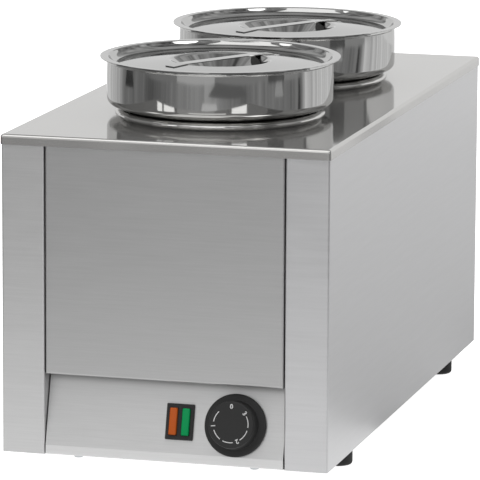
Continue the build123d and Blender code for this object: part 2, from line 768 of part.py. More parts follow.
capillary_end = thermostat_back.from_local_coords((capillary_offset, 0, -shaft_end_gap))
with BuildPart() as capillary_tube:
    with BuildLine():
        capillary_run = FilletPolyline(
            (0, bulb_front, bulb_z),
            (0, tank_front - capillary_lead, bulb_z),
            (capillary_end.X, tank_front - capillary_lead, bulb_z),
            (capillary_end.X, tank_front - capillary_lead, capillary_end.Z),
            capillary_end,
            radius=capillary_bend,
        )
    with BuildSketch(Plane(capillary_run @ 0, z_dir=capillary_run % 0)):
        Circle(capillary_radius)
    sweep()
save(capillary_tube, "capillary_tube")

# Overheat limiter on two studs at the tank's front wall
limiter_z = tank_under + limiter_height
limiter_plane = Plane((-limiter_offset, tank_front, limiter_z), x_dir=(1, 0, 0), z_dir=(0, -1, 0))
limiter_studs_at = beside(limiter_plane, limiter_stud_spread)
with BuildPart() as overheat_limiter:
    with BuildSketch(limiter_plane):
        SlotOverall(limiter_ear_width, limiter_ear_height)
        with Locations((-limiter_stud_spread / 2, 0), (limiter_stud_spread / 2, 0)):
            Circle(thread_radius + thread_gap, mode=Mode.SUBTRACT)
    extrude(amount=limiter_ear_sheet)
    with BuildSketch(limiter_plane.offset(limiter_ear_sheet)):
        Circle(limiter_radius)
    extrude(amount=limiter_depth)
    with BuildSketch(limiter_plane.offset(limiter_ear_sheet + limiter_depth)):
        with Locations((-limiter_radius / 2, 0), (limiter_radius / 2, 0)):
            Rectangle(tab_thickness, tab_width)
    extrude(amount=tab_length)
save(overheat_limiter, "overheat_limiter")

with BuildPart() as limiter_studs:
    studs(limiter_studs_at, limiter_ear_sheet + nut_height + thread_radius)
save(limiter_studs, "limiter_studs")

with BuildPart() as limiter_nuts:
    hex_nuts([plane.offset(limiter_ear_sheet) for plane in limiter_studs_at],
             nut_radius, nut_height, thread_radius + nut_gap)
save(limiter_nuts, "limiter_nuts")

# Cable gland through the rear panel, with its locknut inside
gland_plane = planes_back([gland_place], rear_y)[0]
with BuildPart() as cable_gland:
    with BuildSketch(gland_plane):
        RegularPolygon(gland_hex_radius, 6)
    extrude(amount=gland_hex_height)
    with BuildSketch(gland_plane.offset(gland_hex_height)):
        Circle(gland_dome_radius)
    extrude(amount=gland_dome_height)
    fillet(cable_gland.faces().sort_by(Axis.Y)[-1].edges(), gland_dome_round)
    with BuildSketch(gland_plane):
        Circle(gland_thread_radius)
    extrude(amount=-gland_thread_length)
    with BuildSketch(gland_plane.offset(-gland_thread_length)):
        Circle(gland_bore_radius)
    extrude(amount=gland_thread_length + gland_hex_height + gland_dome_height, mode=Mode.SUBTRACT)
save(cable_gland, "cable_gland")

with BuildPart() as gland_locknut:
    hex_nuts([gland_plane.offset(-sheet - gland_nut_height)], gland_nut_radius, gland_nut_height,
             gland_thread_radius + nut_gap)
save(gland_locknut, "gland_locknut")

# Terminal block and earth stud on the base pan
terminal_plane = Plane((-terminal_offset, terminal_y, base_top))
with BuildPart() as terminal_block:
    with BuildSketch(terminal_plane):
        Rectangle(terminal_width, terminal_depth)
    extrude(amount=terminal_height)
    with BuildSketch(Plane((-terminal_offset, terminal_y, base_top + terminal_height / 2),
                           x_dir=(1, 0, 0), z_dir=(0, 1, 0))):
        with GridLocations(terminal_pitch, 0, 3, 1):
            Circle(terminal_bore)
    extrude(amount=terminal_depth, both=True, mode=Mode.SUBTRACT)
    with BuildSketch(Plane.XY.offset(base_top)):
        with Locations(*terminal_screw_places):
            Circle(thread_radius + thread_gap)
    extrude(amount=block_screw_length, mode=Mode.SUBTRACT)
save(terminal_block, "terminal_block")

with BuildPart() as terminal_screws:
    with BuildSketch(terminal_plane.offset(terminal_height)):
        with GridLocations(terminal_pitch, 0, 3, 1):
            Circle(terminal_screw_radius)
    extrude(amount=terminal_screw_height)
save(terminal_screws, "terminal_screws")

with BuildPart() as terminal_block_screws:
    pan_head_screws(planes_down(terminal_screw_places, base_z + sheet), block_screw_length)
save(terminal_block_screws, "terminal_block_screws")

with BuildPart() as earth_stud:
    with BuildSketch(Plane((*earth_place, base_top))):
        Circle(earth_radius)
    extrude(amount=earth_length)
save(earth_stud, "earth_stud")

with BuildPart() as earth_nut:
    hex_nuts(planes_up([earth_place], base_top), nut_radius + nut_gap, nut_height, earth_radius + nut_gap)
save(earth_nut, "earth_nut")

# Wiring: each lead follows its route from one tab, pin or pole to the next
lamp_back = lamp_plane.offset(-lamp_body_depth)
lead_z = base_top + terminal_height / 2
pole_y = terminal_y - terminal_depth / 2 + lead_entry
turn_y = terminal_y - lead_turn
neutral_turn_y = turn_y - lead_spacing
earth_turn_y = turn_y + lead_spacing
riser_y = tank_front - riser_lead
limiter_end_y = tank_front - limiter_ear_sheet - limiter_depth - tab_length - lead_gap
limiter_tab_x = [-limiter_offset + side * limiter_radius / 2 for side in (-1, 1)]
pin_end_y = heater_front - pin_length - lead_gap
live_end, live_run = off_tab(thermostat_back, tab_width, -tab_width)
switched_end, switched_run = off_tab(thermostat_back, -tab_width, tab_width)
lamp_feed_end, lamp_feed_run = off_tab(thermostat_back, -tab_width, -tab_width)
lamp_live_end, lamp_live_run = off_tab(lamp_back, lens_spread / 2, -lens_spread / 2)
lamp_neutral_end, lamp_neutral_run = off_tab(lamp_back, -lens_spread / 2, -lens_spread / 2)
lead_routes = {
    "live_lead": [
        live_end,
        live_run,
        (live_run.X, tank_front, lead_z),
        (live_run.X, turn_y, lead_z),
        (-terminal_offset + terminal_pitch, turn_y, lead_z),
        (-terminal_offset + terminal_pitch, pole_y, lead_z),
    ],
    "neutral_lead": [
        (-heater_inner, pin_end_y, heater_z),
        (-heater_inner, pin_end_y - lead_spacing, heater_z),
        (-heater_inner, pin_end_y - lead_spacing, lead_z),
        (-heater_inner, neutral_turn_y, lead_z),
        (-terminal_offset, neutral_turn_y, lead_z),
        (-terminal_offset, pole_y, lead_z),
    ],
    "earth_lead": [
        (-terminal_offset - terminal_pitch, pole_y, lead_z),
        (-terminal_offset - terminal_pitch, earth_turn_y, lead_z),
        (-earth_offset, earth_turn_y, lead_z),
        (-earth_offset, terminal_y - earth_radius - lead_gap, lead_z),
    ],
    "switched_lead": [
        switched_end,
        switched_run,
        (limiter_tab_x[1], riser_y, base_z + riser_start),
        (limiter_tab_x[1], riser_y, limiter_z),
        (limiter_tab_x[1], limiter_end_y, limiter_z),
    ],
    "heater_lead": [
        (limiter_tab_x[0], limiter_end_y, limiter_z),
        (limiter_tab_x[0], riser_y, limiter_z),
        (limiter_tab_x[0], riser_y, tank_under + lead_spacing),
        (-heater_outer, pin_end_y - 2 * lead_spacing, heater_z),
        (-heater_outer, pin_end_y, heater_z),
    ],
    "lamp_live_lead": [lamp_live_end, lamp_live_run, lamp_feed_run, lamp_feed_end],
    "lamp_neutral_lead": [
        lamp_neutral_end,
        lamp_neutral_run,
        (-heater_inner + lead_spacing, tank_front - lead_spacing, heater_z),
        (-heater_inner + lead_spacing, heater_front - pin_length / 2, heater_z),
        (-heater_inner + pin_radius + lead_gap, heater_front - pin_length / 2, heater_z),
    ],
}
for name, route in lead_routes.items():
    with BuildPart() as lead:
        with BuildLine():
            run = FilletPolyline(*route, radius=lead_bend)
        with BuildSketch(Plane(run @ 0, z_dir=run % 0)):
            Circle(lead_radius)
        sweep()
    save(lead, name)

# Pots, lids and strap handles, one set for each well
slope = radians(shoulder_slope)
cone_rise = tan(slope) * pot_step
seat_rise = (collar_round + pot_seat_gap) / cos(slope) - tan(slope) * (collar_round + pot_clearance)
step_z = deck_z + collar_height - collar_round + seat_rise
lid_wall_top = pot_radius - lid_wall_inset
trough_radius = lid_wall_top - lid_wall_run
cone_slope = (lid_trough_depth - dish_edge_depth) / (trough_radius - dish_radius)
strap_end_depth = dish_edge_depth + (strap_length / 2 - dish_radius) * cone_slope
strap_turn = radians(strap_angle)
for end, y in wells.items():
    axis = Axis((0, y, 0), (0, 0, 1))
    with BuildPart() as pot:
        with BuildSketch(Plane((0, y, 0), x_dir=(1, 0, 0), z_dir=(0, -1, 0))):
            sheet_section(
                [
                    (pot_radius + mouth_flare, pot_rim_z),
                    (pot_radius + mouth_flare, pot_rim_z - mouth_height + mouth_lead),
                    (pot_radius, pot_rim_z - mouth_height),
                    (pot_radius, step_z + cone_rise),
                    (neck_outer, step_z),
                    (neck_outer, deck_z - pot_depth),
                    (0, deck_z - pot_depth),
                ],
                [mouth_round, mouth_round, shoulder_radius, neck_radius, pot_floor_radius],
                Side.RIGHT,
            )
        revolve(axis=axis)
    save(pot, f"pot_{end}")

    with BuildPart() as lid:
        with BuildSketch(Plane((0, y, lid_z), x_dir=(1, 0, 0), z_dir=(0, -1, 0))):
            sheet_section(
                [
                    (lid_radius, 0),
                    (lid_wall_top, 0),
                    (trough_radius, -lid_trough_depth),
                    (dish_radius, -dish_edge_depth),
                    (dish_floor_radius, -dish_depth),
                    (0, -dish_depth),
                ],
                [lid_rim_round, lid_trough_round, dish_edge_round, dish_floor_round],
                Side.LEFT,
            )
        revolve(axis=axis)
    save(lid, f"lid_{end}")

    with BuildPart() as strap:
        strap_plane = Plane(
            (0, y, lid_z + strap_seat),
            x_dir=(cos(strap_turn), sin(strap_turn), 0),
            z_dir=(sin(strap_turn), -cos(strap_turn), 0),
        )
        with BuildSketch(strap_plane):
            with BuildLine() as strap_line:
                FilletPolyline(
                    (-strap_length / 2, -strap_end_depth),
                    (-dish_radius, -dish_edge_depth),
                    (dish_radius, -dish_edge_depth),
                    (strap_length / 2, -strap_end_depth),
                    radius=strap_bend,
                )
                offset(amount=strap_thickness, side=Side.LEFT)
            make_face(strap_line.edges())
        extrude(amount=strap_width / 2, both=True)
    save(strap, f"lid_handle_{end}")
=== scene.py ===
# %% [markdown]
# # A two-pot bain-marie in stainless steel
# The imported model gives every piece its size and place. This lesson dresses it. It sets up a small photo
# studio, gives each sheet, pot and knob the finish of its real material, and turns the polished pots and
# lids afresh on a fine lathe, because a mirror shows every facet of a coarse mesh.

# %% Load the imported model
import json
import math

import bpy
from mathutils import Matrix, Quaternion, Vector


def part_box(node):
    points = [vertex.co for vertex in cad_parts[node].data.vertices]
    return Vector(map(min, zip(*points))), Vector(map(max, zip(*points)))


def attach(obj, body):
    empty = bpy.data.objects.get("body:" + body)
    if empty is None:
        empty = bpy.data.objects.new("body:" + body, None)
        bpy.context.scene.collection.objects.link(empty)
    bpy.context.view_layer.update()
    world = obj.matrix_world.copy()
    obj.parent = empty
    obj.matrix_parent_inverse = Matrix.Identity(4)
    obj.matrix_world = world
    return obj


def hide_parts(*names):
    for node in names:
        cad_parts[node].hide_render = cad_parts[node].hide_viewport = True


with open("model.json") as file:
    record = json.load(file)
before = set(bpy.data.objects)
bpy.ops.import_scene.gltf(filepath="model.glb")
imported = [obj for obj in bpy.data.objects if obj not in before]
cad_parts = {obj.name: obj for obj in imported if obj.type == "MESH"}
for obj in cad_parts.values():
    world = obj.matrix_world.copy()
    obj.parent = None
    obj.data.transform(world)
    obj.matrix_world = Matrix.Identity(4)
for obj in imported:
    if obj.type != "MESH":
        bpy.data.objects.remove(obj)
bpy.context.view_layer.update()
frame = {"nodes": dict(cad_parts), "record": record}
nodes = frame["nodes"]
bpy.ops.object.select_all(action="DESELECT")
mm = 0.001

# %% [markdown]
# ## The camera
# The photograph was taken from the front, a little to the right and a little above, through a long lens.
# A long lens keeps the casing's edges nearly parallel, so the camera stands almost four metres away. Yaw,
# pitch and roll are easier to read than a rotation, so the rotation is worked out from them.

# %% Camera
camera_place = Vector((1.0123, -3.7161, 0.8709))
camera_yaw = math.radians(15.407)
camera_pitch = math.radians(10.598)
camera_roll = math.radians(0.285)
camera_lens = 333.55
camera_sensor = 36
camera_sees_to = 100

looking = Vector((
    -math.sin(camera_yaw) * math.cos(camera_pitch),
    math.cos(camera_yaw) * math.cos(camera_pitch),
    -math.sin(camera_pitch),
))
bpy.ops.object.camera_add(location=camera_place)
camera = bpy.context.object
camera.name = "studio_camera"
camera.rotation_mode = "QUATERNION"
camera.rotation_quaternion = looking.to_track_quat("-Z", "Y") @ Quaternion((0, 0, 1), camera_roll)
camera.data.lens = camera_lens
camera.data.sensor_width = camera_sensor
camera.data.clip_end = camera_sees_to
bpy.context.scene.camera = camera
print("camera at", tuple(round(c, 3) for c in camera.location))

# %% [markdown]
# ## Colours and nodes
# Colours are written as sRGB hex values, and shaders want linear light, so one function converts them. A
# second one adds a shader node with its settings and its links, and a third starts an empty material. That
# is all that the finishes below need.


# %% Helpers for materials
def linear(hex_colour):
    """An sRGB hex colour as linear RGBA."""
    shares = [int(hex_colour[i:i + 2], 16) / 255 for i in (1, 3, 5)]
    light = [s / 12.92 if s <= 0.04045 else ((s + 0.055) / 1.055) ** 2.4 for s in shares]
    return (*light, 1.0)


def add(tree, kind, inputs=None, **settings):
    """Adds a shader node. A socket in inputs takes a value, or a link from another node's output."""
    made = tree.nodes.new("ShaderNode" + kind)
    for name, value in settings.items():
        setattr(made, name, value)
    for socket, value in (inputs or {}).items():
        if isinstance(value, bpy.types.NodeSocket):
            tree.links.new(value, made.inputs[socket])
        else:
            made.inputs[socket].default_value = value
    return made


def new_material(name):
    """An empty node material, its tree and its surface socket."""
    material = bpy.data.materials.new(name)
    material.use_nodes = True
    material.node_tree.nodes.clear()
    output = add(material.node_tree, "OutputMaterial")
    return material, material.node_tree, output.inputs["Surface"]


white = linear("#FFFFFF")
print("white in linear light is", white)

# %% [markdown]
# ## The light table and the sky
# The object stands on an opal light table, which glows a little from below, so the floor stays almost
# white. A sky that grows brighter towards the top lights everything softly and leaves no hard shadow.

# %% The light table
floor_size = 60.0
floor_glow = 0.75

bpy.ops.mesh.primitive_plane_add(size=floor_size)
floor = bpy.context.object
floor.name = "studio_floor"
material, tree, surface = new_material("opal light table")
opal = add(tree, "BsdfPrincipled", {
    "Base Color": linear("#EFEFEF"), "Roughness": 0.9, "Specular IOR Level": 0.1,
    "Emission Color": white, "Emission Strength": floor_glow,
})
tree.links.new(opal.outputs["BSDF"], surface)
floor.data.materials.append(material)
# The table shows in reflections, but its glow doesn't light the object from below.
floor.visible_diffuse = False
print("a light table", floor_size, "m across")

# %% The sky
sky_low, sky_high = 0.15, 1.25

world = bpy.data.worlds.new("studio_sky")
bpy.context.scene.world = world
world.use_nodes = True
tree = world.node_tree
toward = add(tree, "SeparateXYZ", {"Vector": add(tree, "TexCoord").outputs["Generated"]})
sky = add(tree, "MapRange", {
    "Value": toward.outputs["Z"], "From Min": -0.1, "From Max": 0.7, "To Min": sky_low, "To Max": sky_high,
})
tree.links.new(sky.outputs[0], tree.nodes["Background"].inputs["Strength"])
tree.nodes["Background"].inputs["Color"].default_value = white
# The standard view keeps the hex colours as they are written.
bpy.context.scene.view_settings.view_transform = "Standard"
bpy.context.scene.cycles.use_denoising = True
print("a sky from", sky_low, "to", sky_high)

# %% [markdown]
# ## Cards that only reflections see
# Polished steel shows what stands around it, so the studio is part of the finish. A photographer puts cards
# round the table, dark ones and bright ones, until the metal looks right. These cards glow by themselves.
# They are hidden from the camera and from diffuse light, so they leave no shadows and only the steel and
# other shiny faces show them. Behind them all stands a dark, round room.


# %% A card's face, and the room
cloud_size = 625 * mm


def glowing(name, tone, patches=0.0):
    """A card's face, whose tone is its brightness, and patches the share by which that wanders."""
    material, tree, surface = new_material("card " + name)
    place = add(tree, "TexCoord").outputs["Object"]
    cloudy = add(tree, "TexNoise", {
        "Vector": place, "Scale": 1 / cloud_size, "Detail": 3.0, "Roughness": 0.6,
    })
    level = add(tree, "MapRange", {
        "Value": cloudy.outputs["Fac"], "From Min": 0.35, "From Max": 0.65,
        "To Min": tone * (1 - patches), "To Max": tone * (1 + patches),
    })
    light = add(tree, "Emission", {"Color": white, "Strength": level.outputs[0]})
    tree.links.new(light.outputs[0], surface)
    return material


def only_reflected(card):
    """Hides a card from everything but reflections."""
    card.visible_camera = False
    card.visible_diffuse = False
    card.visible_transmission = False
    card.visible_shadow = False


pots_middle = Vector((0, -0.108, 0.30))
card_distance = 3.0
room_radius = card_distance + 0.4
room_height = 6.0
room_tone = 0.15
bpy.ops.mesh.primitive_cylinder_add(
    radius=room_radius, depth=room_height, end_fill_type="NOTHING", vertices=96, location=pots_middle)
room = bpy.context.object
room.name = "studio_room"
bpy.ops.object.transform_apply(location=True, rotation=True, scale=True)
room.data.materials.append(glowing(room.name, room_tone))
only_reflected(room)
print("a dark room of", room_radius, "m radius")

# %% [markdown]
# ## Cards round the table
# On a round pot, each upright card shows as an upright stripe. So a card is placed by the angles between
# which the pots see it: round from the front, to the right, and up from the level. Small bright windows
# stand a hand's breadth in front of the dark cards. A bright backdrop behind the object shows in the deck
# and the lids, and a dimmer, blotchy wall stands above it.


# %% Dark cards
def upright_card(name, angles, rises, tone, nearer=0.0, patches=0.0):
    """An upright card that the pots see between two angles from the front and two angles of rise."""
    distance = card_distance - nearer
    middle = math.radians(sum(angles) / 2)
    width = 2 * distance * math.tan(math.radians(angles[1] - angles[0]) / 2)
    foot, top = (distance * math.tan(math.radians(rise)) for rise in rises)
    aside = distance * math.sin(middle)
    ahead = -distance * math.cos(middle)
    place = pots_middle + Vector((aside, ahead, (foot + top) / 2))
    bpy.ops.mesh.primitive_plane_add(size=1, location=place, rotation=(math.pi / 2, 0, middle))
    card = bpy.context.object
    card.name = name
    card.scale = (width, top - foot, 1)
    bpy.ops.object.transform_apply(location=True, rotation=True, scale=True)
    card.data.materials.append(glowing(name, tone, patches))
    only_reflected(card)


# Each dark card: its two angles in degrees, and its tone.
dark_rises = (-6, 44)
dark_cards = {
    "studio_card_left": ((-104, -66), 0.22),
    "studio_card_front_left": ((-66, -28), 0.24),
    "studio_card_front": ((-28, 10), 0.55),
    "studio_card_front_right": ((10, 64), 0.28),
    "studio_card_right": ((64, 82), 0.10),
    "studio_card_far_right": ((82, 108), 0.34),
}
for name, (angles, tone) in dark_cards.items():
    upright_card(name, angles, dark_rises, tone)
print(len(dark_cards), "dark cards")

# %% Windows and backdrop
# Each window: its two angles, its two rises, and its tone.
window_gap = 0.1
windows = {
    "studio_window_left": ((-42.5, -31), (4, 13), 2.4),
    "studio_window_slit": ((-50, -44.5), (4, 13), 2.4),
    "studio_window_middle": ((0, 12), (4, 7), 1.6),
    "studio_window_right": ((27, 42), (4, 13), 2.4),
    "studio_window_band": ((-30, 30), (13, 26), 1.4),
}
for name, (angles, rises, tone) in windows.items():
    upright_card(name, angles, rises, tone, nearer=window_gap)

back_angles = (112, 248)
upright_card("studio_backdrop", back_angles, (-6, 20), 1.0, nearer=1.8)
upright_card("studio_back_wall", back_angles, (20, 62), 0.40, nearer=1.7, patches=0.6)
print(len(windows), "windows, a backdrop and a wall above it")

# %% [markdown]
# ## Softboxes overhead
# The lids' curved walls and dishes tip towards the camera, so they show what hangs overhead: a dim, blotchy
# ceiling, and under it four bright softboxes of different sizes.


# %% Ceiling and softboxes
def overhead_card(name, x_span, y_span, height, tone, patches=0.0):
    """A card lying level overhead."""
    bpy.ops.mesh.primitive_plane_add(size=1, location=(sum(x_span) / 2, sum(y_span) / 2, height))
    card = bpy.context.object
    card.name = name
    card.scale = (x_span[1] - x_span[0], y_span[1] - y_span[0], 1)
    bpy.ops.object.transform_apply(location=True, rotation=True, scale=True)
    card.data.materials.append(glowing(name, tone, patches))
    only_reflected(card)


# Each softbox: its ends along X and along Y in metres, and its tone.
ceiling_height = 2.75
softbox_height = 2.6
softboxes = {
    "studio_softbox_middle": ((-1.6, 0.35), (-1.4, -0.15), 1.4),
    "studio_softbox_far_left": ((-2.9, -2.0), (-1.5, -0.5), 2.0),
    "studio_softbox_right": ((1.1, 2.1), (-1.25, -0.3), 3.0),
    "studio_softbox_front": ((-1.6, 1.6), (-2.7, -1.5), 1.5),
}
overhead_card("studio_ceiling", (-3.2, 3.2), (-3.2, 1.4), ceiling_height, 0.25, patches=0.7)
for name, (x_span, y_span, tone) in softboxes.items():
    overhead_card(name, x_span, y_span, softbox_height, tone)
print("a ceiling and", len(softboxes), "softboxes")

# %% [markdown]
# ## Papers on the table
# The camera looks down on the pots' upright walls, so the walls reflect the table around them. A few papers
# lie there, placed by angle and by distance, and give the walls darker and lighter fields.


# %% Papers
paper_height = 4 * mm


def floor_card(name, angles, reaches, tone):
    """A card lying on the table, between two angles from the front and two distances from the pots."""
    middle = math.radians(sum(angles) / 2)
    reach = sum(reaches) / 2
    width = 2 * reach * math.tan(math.radians(angles[1] - angles[0]) / 2)
    aside = pots_middle.x + reach * math.sin(middle)
    ahead = pots_middle.y - reach * math.cos(middle)
    bpy.ops.mesh.primitive_plane_add(size=1, location=(aside, ahead, paper_height), rotation=(0, 0, middle))
    card = bpy.context.object
    card.name = name
    card.scale = (width, reaches[1] - reaches[0], 1)
    bpy.ops.object.transform_apply(location=True, rotation=True, scale=True)
    card.data.materials.append(glowing(name, tone))
    only_reflected(card)


# Each paper: its two angles, its nearest and farthest distance in metres, and its tone.
papers = {
    "studio_square": ((-93, -82), (2.2, 3.3), 0.05),
    "studio_paper": ((-4, 14), (0.85, 1.75), 0.66),
    "studio_block": ((8, 38), (2.0, 3.2), 0.15),
    "studio_patch": ((72, 79.5), (2.0, 3.3), 0.42),
    "studio_post": ((99.5, 102), (1.3, 2.9), 0.07),
}
for name, (angles, reaches, tone) in papers.items():
    floor_card(name, angles, reaches, tone)
print(len(papers), "papers on the table")

# %% [markdown]
# ## The dark cloth
# Under the papers lies a cloth, dark in front and pale behind. Its tone follows the angle round the pots, so
# that it shows as soft upright stripes in their walls, and folds that fan out from the pots break the
# stripes up. Close to the object, in front, the cloth takes the pale tone of the table.

# %% The cloth's tone by angle
cloth_size = 8.0
cloth_height = 2 * mm
# Angles run in degrees from the front, to the right, and each has the cloth's tone there.
tones_by_angle = [
    (-150, 1.0), (-109, 0.68), (-96, 0.22), (-74, 0.22), (-57, 0.12), (-28, 0.27),
    (4, 0.42), (37, 0.19), (55, 0.27), (103, 0.22), (110, 0.70), (168, 0.92),
]

bpy.ops.mesh.primitive_plane_add(size=cloth_size, location=(0, pots_middle.y, cloth_height))
cloth = bpy.context.object
cloth.name = "studio_cloth"
material, tree, surface = new_material("dark studio cloth")
place = add(tree, "TexCoord").outputs["Object"]
spot = add(tree, "SeparateXYZ", {"Vector": place})
forward = add(tree, "Math", {0: spot.outputs["Y"], 1: -1.0}, operation="MULTIPLY")
around = add(tree, "Math", {0: spot.outputs["X"], 1: forward.outputs[0]}, operation="ARCTAN2")
degrees = add(tree, "Math", {0: around.outputs[0]}, operation="DEGREES").outputs[0]
turn_share = add(tree, "MapRange", {"Value": degrees, "From Min": -180.0, "From Max": 180.0})
tones = add(tree, "ValToRGB", {"Fac": turn_share.outputs[0]})
stops = tones.color_ramp.elements
stops.remove(stops[0])
for k, (bearing, tone) in enumerate(tones_by_angle):
    position = (bearing + 180) / 360
    stop = stops[0] if k == 0 else stops.new(position)
    stop.position = position
    stop.color = (tone, tone, tone, 1.0)
print("a cloth with", len(stops), "tones round the pots")

# %% The cloth's folds
folds_per_degree = 0.14
fold_depth = 0.28

wedges = add(tree, "TexNoise", {
    "W": degrees, "Scale": folds_per_degree, "Detail": 4.0, "Roughness": 0.75,
}, noise_dimensions="1D")
folds = add(tree, "MapRange", {
    "Value": wedges.outputs["Fac"], "From Min": 0.3, "From Max": 0.7,
    "To Min": 1 - fold_depth, "To Max": 1 + fold_depth,
})
folded = add(tree, "MixRGB", {0: 1.0, 1: tones.outputs[0], 2: folds.outputs[0]}, blend_type="MULTIPLY")
print("a fold every", round(1 / folds_per_degree, 1), "degrees")

# %% Where the cloth ends
cloth_near, cloth_far = 0.50, 0.80
# Behind the object, a painted shadow darkens the cloth between two distances, down to a share of its tone.
cloth_shadow_near, cloth_shadow_far, cloth_shadow_share = 0.35, 1.5, 0.80
left_edge, right_edge = (-106.0, -100.0), (104.0, 109.0)
table_tone = (1.15, 1.15, 1.15, 1.0)

reach = add(tree, "VectorMath", {0: place}, operation="LENGTH").outputs["Value"]
near = add(tree, "MapRange", {
    "Value": reach, "From Min": cloth_near, "From Max": cloth_far, "To Min": 1.0, "To Max": 0.0,
}, interpolation_type="SMOOTHSTEP")
front = add(tree, "MixRGB", {0: near.outputs[0], 1: folded.outputs[0], 2: table_tone})
# Painted shadow: behind the object the cloth darkens towards it, as the table lies in the object's shade
# there.
dim = add(tree, "MapRange", {
    "Value": reach, "From Min": cloth_shadow_near, "From Max": cloth_shadow_far, "To Min": cloth_shadow_share, "To Max": 1.0,
})
behind = add(tree, "MixRGB", {0: 1.0, 1: folded.outputs[0], 2: dim.outputs[0]}, blend_type="MULTIPLY")
left = add(tree, "MapRange", {
    "Value": degrees, "From Min": left_edge[0], "From Max": left_edge[1], "To Min": 1.0, "To Max": 0.0,
})
right = add(tree, "MapRange", {"Value": degrees, "From Min": right_edge[0], "From Max": right_edge[1]})
sides = add(tree, "Math", {0: left.outputs[0], 1: right.outputs[0]}, operation="MAXIMUM")
ground = add(tree, "MixRGB", {0: sides.outputs[0], 1: front.outputs[0], 2: behind.outputs[0]})
dye = add(tree, "Emission", {"Color": ground.outputs[0], "Strength": 1.0})
tree.links.new(dye.outputs[0], surface)
cloth.data.materials.append(material)
only_reflected(cloth)
print("the cloth starts", cloth_near, "to", cloth_far, "m in front of the pots")

# %% [markdown]
# ## Rolled and brushed steel
# The casing is cold-rolled stainless sheet, ground on a belt, so fine scratches all run along the sheet.
# Stretched noise gives the scratches: long along the grain and short across it. Real scratches are finer
# than a pixel here, so the streaks are drawn a little coarser. The highlight spreads across the grain, so
# the shader is anisotropic. The fascia slopes back under the front panel, which keeps light off its top,
# so a painted shadow darkens its grey towards the top edge.


# %% Brushed stainless sheet
brushed_roughness = 0.42
streak_roughness = 0.03
streak_tone = 0.035


def brushed(name, colour, grain, eave=0.0, depth=0.0, shadow=1.0):
    """Belt-ground stainless: grain is the streaks' size in mm along X, Y and Z; a painted shadow darkens its
    top.
    """
    material, tree, surface = new_material(name)
    place = add(tree, "TexCoord").outputs["Object"]
    along = add(tree, "Mapping", {"Vector": place, "Scale": [1 / (g * mm) for g in grain]})
    streaks = add(tree, "TexNoise", {
        "Vector": along.outputs[0], "Scale": 1.0, "Detail": 3.0, "Roughness": 0.6,
    })
    tone = add(tree, "MapRange", {
        "Value": streaks.outputs["Fac"], "From Min": 0.3, "From Max": 0.7,
        "To Min": 1 - streak_tone, "To Max": 1 + streak_tone,
    })
    # Painted shade: the grey darkens towards the top edge, where the front panel keeps light off.
    if shadow < 1.0:
        height = add(tree, "SeparateXYZ", {"Vector": place}).outputs["Z"]
        below = add(tree, "MapRange", {
            "Value": height, "From Min": eave - depth, "From Max": eave, "To Min": 1.0, "To Max": shadow,
        }, interpolation_type="SMOOTHSTEP")
        tone = add(tree, "Math", {0: tone.outputs[0], 1: below.outputs[0]}, operation="MULTIPLY")
    shade = add(tree, "MixRGB", {0: 1.0, 1: linear(colour), 2: tone.outputs[0]}, blend_type="MULTIPLY")
    rough = add(tree, "MapRange", {
        "Value": streaks.outputs["Fac"], "From Min": 0.3, "From Max": 0.7,
        "To Min": brushed_roughness - streak_roughness, "To Max": brushed_roughness + streak_roughness,
    })
    across = add(tree, "CombineXYZ", {"Z": 1.0})
    steel = add(tree, "BsdfPrincipled", {
        "Base Color": shade.outputs[0], "Metallic": 1.0, "Roughness": rough.outputs[0], "Anisotropic": 0.5,
        "Tangent": across.outputs[0],
    })
    tree.links.new(steel.outputs["BSDF"], surface)
    return material


# Ground on a belt, each panel reads as one soft grey with fine level streaks. The front's darker grey is
# painted shade.
front_steel_painted_shade = brushed("brushed stainless, front", "#B2B2B2", (42, 42, 0.9))
casing_steel = brushed("brushed stainless, casing", "#C4C4C4", (42, 42, 1.3))
# The right side runs away from the camera, so its streaks are drawn coarser still.
right_steel = brushed("brushed stainless, right side", "#C5C5C6", (60, 60, 3.0))
# The fascia's streaks run from side to side only. Its lighter grey is painted light, and a painted shadow
# lies along its top.
fascia_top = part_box("control_fascia")[1][2]
fascia_painted_shade_depth = 11.0 * mm
fascia_painted_shadow = 0.60
fascia_steel_painted_light_and_shade = brushed(
    "brushed stainless, fascia", "#CDCDCD", (42, 1.3, 1.3), fascia_top, fascia_painted_shade_depth, fascia_painted_shadow)
print("four brushed steels, the fascia's shaded over", fascia_painted_shade_depth / mm, "mm")

# %% [markdown]
# ## Bright and polished metal
# The deck is bright-annealed sheet, nearly a mirror, and the pots and lids are pressed and then buffed. Both
# keep a faint unevenness that only shows in reflections, so a very low bump is enough. The same recipe,
# rougher, gives the plain drawn and plated metals inside the casing.


# %% Bright and polished metal
edge_tint = linear("#E0E0E0")
haze_roughness = 0.55


def polished(name, colour, roughness, wave, depth, haze=0.0):
    """Smooth metal: wave is the size of its marks in mm, depth their height in mm, haze a dull share."""
    material, tree, surface = new_material(name)
    place = add(tree, "TexCoord").outputs["Object"]
    marks = add(tree, "TexNoise", {"Vector": place, "Scale": 1 / (wave * mm), "Detail": 2.0})
    uneven = add(tree, "Bump", {"Strength": 1.0, "Distance": depth * mm, "Height": marks.outputs["Fac"]})
    metal = add(tree, "BsdfPrincipled", {
        "Base Color": linear(colour), "Metallic": 1.0, "Roughness": roughness, "Specular Tint": edge_tint,
        "Normal": uneven.outputs[0],
    })
    if haze > 0.0:
        dull = add(tree, "BsdfPrincipled", {
            "Base Color": linear(colour), "Metallic": 1.0, "Roughness": haze_roughness,
            "Specular Tint": edge_tint,
        })
        metal = add(tree, "MixShader", {0: haze, 1: metal.outputs[0], 2: dull.outputs[0]})
    tree.links.new(metal.outputs[0], surface)
    return material


